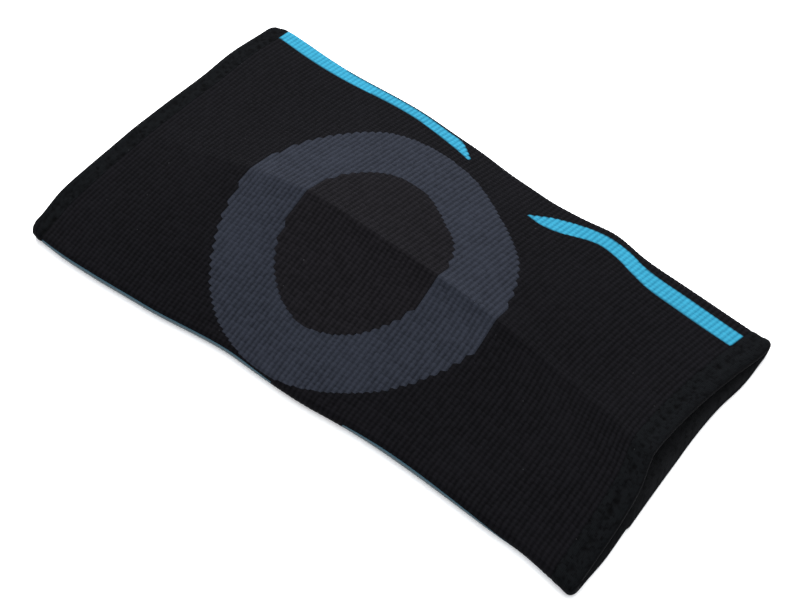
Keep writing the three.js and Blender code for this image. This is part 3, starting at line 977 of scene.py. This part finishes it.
def knit_material(name, yarn, shade, stripe, beads, specular, speckle=0.5, fine=0.4,
                  rib=None, edge=None, disc=None, painted_shade=None, painted_inside_light=None):
    """Elastic knit: yarn colour on the ribs, a darker colour in the grooves as painted shade, and stitches
    along them.
    """
    material, shader = new_material(name)
    tree = material.node_tree
    uv = tree.nodes.new("ShaderNodeUVMap")
    uv.uv_map = "knit"

    def calc(operation, a, b=None):
        return math_node(tree, operation, a, b)

    def attribute(key):
        node = tree.nodes.new("ShaderNodeAttribute")
        node.attribute_name = key
        return node.outputs["Fac"]

    def noise_of(scale, detail):
        node = tree.nodes.new("ShaderNodeTexNoise")
        node.inputs["Scale"].default_value = scale
        node.inputs["Detail"].default_value = detail
        tree.links.new(uv.outputs[0], node.inputs["Vector"])
        return node.outputs[0]

    def clamped(value):
        node = tree.nodes.new("ShaderNodeClamp")
        tree.links.new(value, node.inputs[0])
        return node.outputs[0]

    # Places counted in ribs along the sleeve and in stitches round it
    split = tree.nodes.new("ShaderNodeSeparateXYZ")
    tree.links.new(uv.outputs[0], split.inputs[0])
    pitch = ((BODY_END - BODY_START) / RIBS if rib is None else rib) * MM
    rib_place = calc("DIVIDE", calc("SUBTRACT", split.outputs[1], BODY_START * MM), pitch)
    stitch_place = calc("DIVIDE", split.outputs[0], STITCH_WIDTH * MM)
    wave = calc("SINE", calc("MULTIPLY", stitch_place, 2 * math.pi))
    cross = calc("SINE", calc("MULTIPLY", rib_place, 4 * math.pi))

    # Relief
    grain = noise_of(GRAIN_SCALE, GRAIN_DETAIL)
    loops = calc("ADD", calc("MULTIPLY", wave, beads * STITCH_RELIEF), calc("MULTIPLY", cross, RIB_RELIEF))
    bump = tree.nodes.new("ShaderNodeBump")
    bump.inputs["Strength"].default_value = fine
    bump.inputs["Distance"].default_value = BUMP_DISTANCE
    tree.links.new(calc("ADD", loops, calc("MULTIPLY", grain, GRAIN_RELIEF)), bump.inputs["Height"])
    tree.links.new(bump.outputs[0], shader.inputs["Normal"])

    # Each stitch has its own slight tone
    cell = tree.nodes.new("ShaderNodeCombineXYZ")
    tree.links.new(calc("FLOOR", calc("ADD", stitch_place, STITCH_START)), cell.inputs[0])
    tree.links.new(calc("FLOOR", rib_place), cell.inputs[1])
    tone = tree.nodes.new("ShaderNodeTexWhiteNoise")
    tone.noise_dimensions = "2D"
    tree.links.new(cell.outputs[0], tone.inputs["Vector"])

    # Yarn colour, from 0 on a rib to 1 deep in a groove: the darker grooves and stitch ends are painted
    # shade
    if rib is None:
        groove = attribute("groove")
    else:
        groove = calc("MULTIPLY", calc("ADD", cross, 1.0), HEM_GROOVE)
    stitch_end = calc("SUBTRACT", STITCH_LEVEL, wave)
    dark = calc("ADD", calc("MULTIPLY", groove, stripe), calc("MULTIPLY", stitch_end, beads))
    dark = calc("ADD", dark, calc("MULTIPLY", calc("SUBTRACT", grain, 0.5), speckle))
    dark = calc("ADD", dark, calc("MULTIPLY", calc("SUBTRACT", tone.outputs[0], 0.5), speckle * TONE_SHARE))
    dark = clamped(dark)
    colour = mix_colour(tree, dark, yarn, shade)
    lighter = tuple(min(1.0, c * PATCH_LIGHT) for c in yarn)
    patches = calc("SUBTRACT", noise_of(PATCH_SCALE, PATCH_DETAIL), PATCH_LEVEL)
    colour = mix_colour(tree, clamped(calc("MULTIPLY", patches, PATCH_GAIN)), colour, lighter)

    # What is special to one knit: the lighter disc in the ring, painted shade in the dimples and along the
    # lip of a hem, and painted light on the inner side, which lifts the shade under the upper layer
    if disc is not None:
        lifted = mix_colour(tree, dark, disc, darker(disc, DISC_DARK))
        colour = mix_colour(tree, calc("MULTIPLY", attribute("disc"), DISC_SHARE), colour, lifted)
    # Painted shade in a hem's needle dimples and along its lip
    if painted_shade is not None:
        colour = mix_colour(tree, attribute("painted_shade"), colour, painted_shade)
    # Painted light on the inner side, lifting the shade under the upper layer
    if painted_inside_light is not None:
        inside = mix_colour(tree, dark, painted_inside_light, darker(painted_inside_light, INSIDE_LIGHT_GROOVE))
        colour = mix_colour(tree, attribute("painted_inside_light"), colour, inside)
    lint = clamped(calc("MULTIPLY", calc("SUBTRACT", noise_of(LINT_SCALE, 0.0), LINT_LEVEL), LINT_GAIN))
    colour = mix_colour(tree, calc("MULTIPLY", lint, LINT_SHARE), colour, LINT_TONE)
    if edge is not None:
        rim = calc("POWER", attribute("border"), RIM_POWER)
        colour = mix_colour(tree, calc("MULTIPLY", rim, RIM_SHARE), colour, edge)
    tree.links.new(colour, shader.inputs["Base Color"])
    shader.inputs["Roughness"].default_value = YARN_ROUGHNESS
    shader.inputs["Specular IOR Level"].default_value = specular
    shader.inputs["Sheen Weight"].default_value = SHEEN
    shader.inputs["Sheen Roughness"].default_value = SHEEN_ROUGHNESS
    shader.inputs["Sheen Tint"].default_value = SHEEN_TINT
    return material


def thread_material():
    """Black sewing thread with a fine twist."""
    material, shader = new_material("sewing_thread")
    tree = material.node_tree
    place = tree.nodes.new("ShaderNodeNewGeometry")
    noise = tree.nodes.new("ShaderNodeTexNoise")
    noise.inputs["Scale"].default_value = THREAD_GRAIN
    tree.links.new(place.outputs["Position"], noise.inputs["Vector"])
    tree.links.new(mix_colour(tree, noise.outputs[0], *THREAD_TONES), shader.inputs["Base Color"])
    bump = tree.nodes.new("ShaderNodeBump")
    bump.inputs["Strength"].default_value = THREAD_BUMP
    bump.inputs["Distance"].default_value = THREAD_BUMP_DISTANCE
    tree.links.new(noise.outputs[0], bump.inputs["Height"])
    tree.links.new(bump.outputs[0], shader.inputs["Normal"])
    shader.inputs["Roughness"].default_value = YARN_ROUGHNESS
    shader.inputs["Specular IOR Level"].default_value = THREAD_SPECULAR
    return material


# The sleeve's own frame starts at the upper arm end and its middle line; the scene's is the CAD frame

def frame_shift():
    x = np.linspace(BODY_START, BODY_END, FRAME_SAMPLES)
    return np.array([LENGTH / 2, fold_at(FAR, x).max() - CAD_BOX[1].y / MM, 0.0])


FRAME_SHIFT = frame_shift()

# Yarns; the shade colour of each is the painted shade of its grooves
# A lighter colour on the inner side of the knit: painted light that lifts the shade falling under the upper
# layer
PAINTED_INSIDE_LIGHT = (0.0085, 0.0088, 0.0096)
BLACK = knit_material(
    "black_knit", yarn=(0.0032, 0.0030, 0.0039), shade=(0.0007, 0.0006, 0.0009),
    disc=(0.0124, 0.0110, 0.0130), painted_inside_light=PAINTED_INSIDE_LIGHT,
    stripe=1.0, beads=0.08, speckle=1.1, specular=0.04,
)
GREY = knit_material(
    "grey_knit", yarn=(0.0158, 0.0182, 0.0260), shade=(0.0040, 0.0048, 0.0072),
    stripe=0.72, beads=0.055, speckle=0.8, specular=0.06,
)
CYAN = knit_material(
    "cyan_knit", yarn=(0.024, 0.198, 0.302), shade=(0.009, 0.107, 0.178), edge=(0.002, 0.014, 0.024),
    stripe=0.85, beads=0.09, fine=0.3, specular=0.06,
)
# The same cyan yarn, darkened and greyed: painted shade of the near fold, where the near bands lie
PAINTED_SHADE_CYAN = knit_material(
    "painted_shade_cyan_knit", yarn=(0.075, 0.095, 0.105), shade=(0.055, 0.07, 0.08), edge=(0.02, 0.075, 0.11),
    stripe=0.5, beads=0.06, fine=0.3, specular=0.06,
)
# The hem's darkest colour, for its needle dimples and its lip, is painted shade
HEM = knit_material(
    "hem_knit", yarn=(0.0027, 0.0031, 0.0036), shade=(0.0006, 0.0006, 0.0008), rib=HEM_RIB,
    painted_shade=(0.0006, 0.0006, 0.0007), painted_inside_light=PAINTED_INSIDE_LIGHT,
    stripe=0.3, beads=0.02, speckle=2.8, fine=0.5, specular=0.03,
)
THREAD = thread_material()


def dress(piece, material, slot, *nodes):
    """Give a piece its material, and say what it belongs to and which solids it stands for."""
    piece.data.materials.append(material)
    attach(piece, "root")
    if nodes:
        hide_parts(*nodes)
    return piece


knit = knit_pieces()
body = dress(knit["sleeve_body"], BLACK, "black_knit", "sleeve_body")
ring = dress(knit["elbow_ring"], GREY, "grey_knit", "elbow_ring")
# The near bands get the cyan with painted shade of the near fold; the far bands get the plain cyan
bands = [
    dress(knit[name], CYAN if name.startswith("far") else PAINTED_SHADE_CYAN, "cyan_knit", name) for name in BANDS
]
upper_arm_hem = hem_piece("upper_arm_hem_knit", 0.0, 1, BODY_START, UPPER_ARM_STITCH)
forearm_hem = hem_piece("forearm_hem_knit", LENGTH, -1, LENGTH - BODY_END, FOREARM_STITCH, LAP_STEP)
hems = [
    dress(upper_arm_hem, HEM, "hem_knit", "upper_arm_hem"),
    dress(forearm_hem, HEM, "hem_knit", "forearm_hem"),
]
threads = [
    dress(thread_piece("upper_arm_stitches", UPPER_ARM_STITCH, 3), THREAD, "hem_knit"),
    dress(thread_piece("forearm_stitches", FOREARM_STITCH, 4), THREAD, "hem_knit"),
]


# Floor and light

FLOOR_HALF = 3.0
FLOOR_DROP = 0.00005
FLOOR_TONES = ((0.94, 0.94, 0.94), (0.96, 0.96, 0.96))
FLOOR_NOISE = 30.0
FLOOR_ROUGHNESS = 0.6
FLOOR_GLOW = 0.15
SKY = (0.93, 0.96, 1.0, 1.0)
SKY_STRENGTH = 0.72

# Area lights, which all look at the middle of the sleeve: place, width and height, and power
LIGHTS = {
    "back_light": ((-0.5, 0.75, 0.9), (1.4, 0.7), 31.5),
    "top_light": ((0.1, -0.1, 1.2), (1.6, 1.2), 10.5),
}


def floor():
    """A white table that glows slightly, because the photo's ground is burnt out to white."""
    mesh = bpy.data.meshes.new("floor")
    half = FLOOR_HALF
    corners = [(-half, -half, 0), (half, -half, 0), (half, half, 0), (-half, half, 0)]
    mesh.from_pydata(corners, [], [(0, 1, 2, 3)])
    plane = bpy.data.objects.new("floor", mesh)
    plane.location.z = -FLOOR_DROP
    bpy.context.scene.collection.objects.link(plane)
    material, shader = new_material("white_table")
    tree = material.node_tree
    noise = tree.nodes.new("ShaderNodeTexNoise")
    noise.inputs["Scale"].default_value = FLOOR_NOISE
    tree.links.new(mix_colour(tree, noise.outputs[0], *FLOOR_TONES), shader.inputs["Base Color"])
    shader.inputs["Roughness"].default_value = FLOOR_ROUGHNESS
    shader.inputs["Emission Color"].default_value = (1.0, 1.0, 1.0, 1.0)
    shader.inputs["Emission Strength"].default_value = FLOOR_GLOW
    mesh.materials.append(material)


def area_light(name, place, size, power):
    light = bpy.data.lights.new(name, "AREA")
    light.shape = "RECTANGLE"
    light.size, light.size_y = size
    light.energy = power
    lamp = bpy.data.objects.new(name, light)
    lamp.location = place
    lamp.rotation_euler = (-Vector(place)).to_track_quat("-Z", "Y").to_euler()
    bpy.context.scene.collection.objects.link(lamp)


def sky():
    world = bpy.data.worlds.new("studio")
    world.use_nodes = True
    background = world.node_tree.nodes["Background"]
    background.inputs[0].default_value = SKY
    background.inputs[1].default_value = SKY_STRENGTH
    bpy.context.scene.world = world


# Camera: focal length in pixels of the 791 by 600 picture, distance to the middle of the sleeve, its
# elevation over the table, the sleeve's turn in the view, and where the sleeve's middle lies in the view
FOCAL_PX = 1300.0
NEAREST = 0.01
PICTURE_WIDTH = 791.0
SENSOR = 36.0
DISTANCE = 437.7
ELEVATION = math.radians(55.48)
TURN = math.radians(39.27)
VIEW_X = -0.67
VIEW_Y = 7.52


def camera():
    data = bpy.data.cameras.new("camera")
    data.sensor_width = SENSOR
    data.sensor_fit = "HORIZONTAL"
    data.lens = FOCAL_PX * SENSOR / PICTURE_WIDTH
    data.clip_start = NEAREST
    cam = bpy.data.objects.new("camera", data)
    c, s = math.cos(TURN), math.sin(TURN)
    back = DISTANCE * math.cos(ELEVATION) + VIEW_Y
    place = Vector((-VIEW_X * c + back * s, -VIEW_X * s - back * c, DISTANCE * math.sin(ELEVATION)))
    ahead = Vector((-s * math.cos(ELEVATION), c * math.cos(ELEVATION), -math.sin(ELEVATION)))
    right = Vector((c, s, 0))
    up = right.cross(ahead)
    turn = Matrix((right, up, -ahead)).transposed()
    middle_line = Vector((0.0, -FRAME_SHIFT[1], 0.0))
    cam.matrix_world = Matrix.Translation((place + middle_line) * MM) @ turn.to_4x4()
    bpy.context.scene.collection.objects.link(cam)
    bpy.context.scene.camera = cam


floor()
sky()
for name, light in LIGHTS.items():
    area_light(name, *light)
camera()
bpy.context.scene.view_settings.view_transform = "Standard"
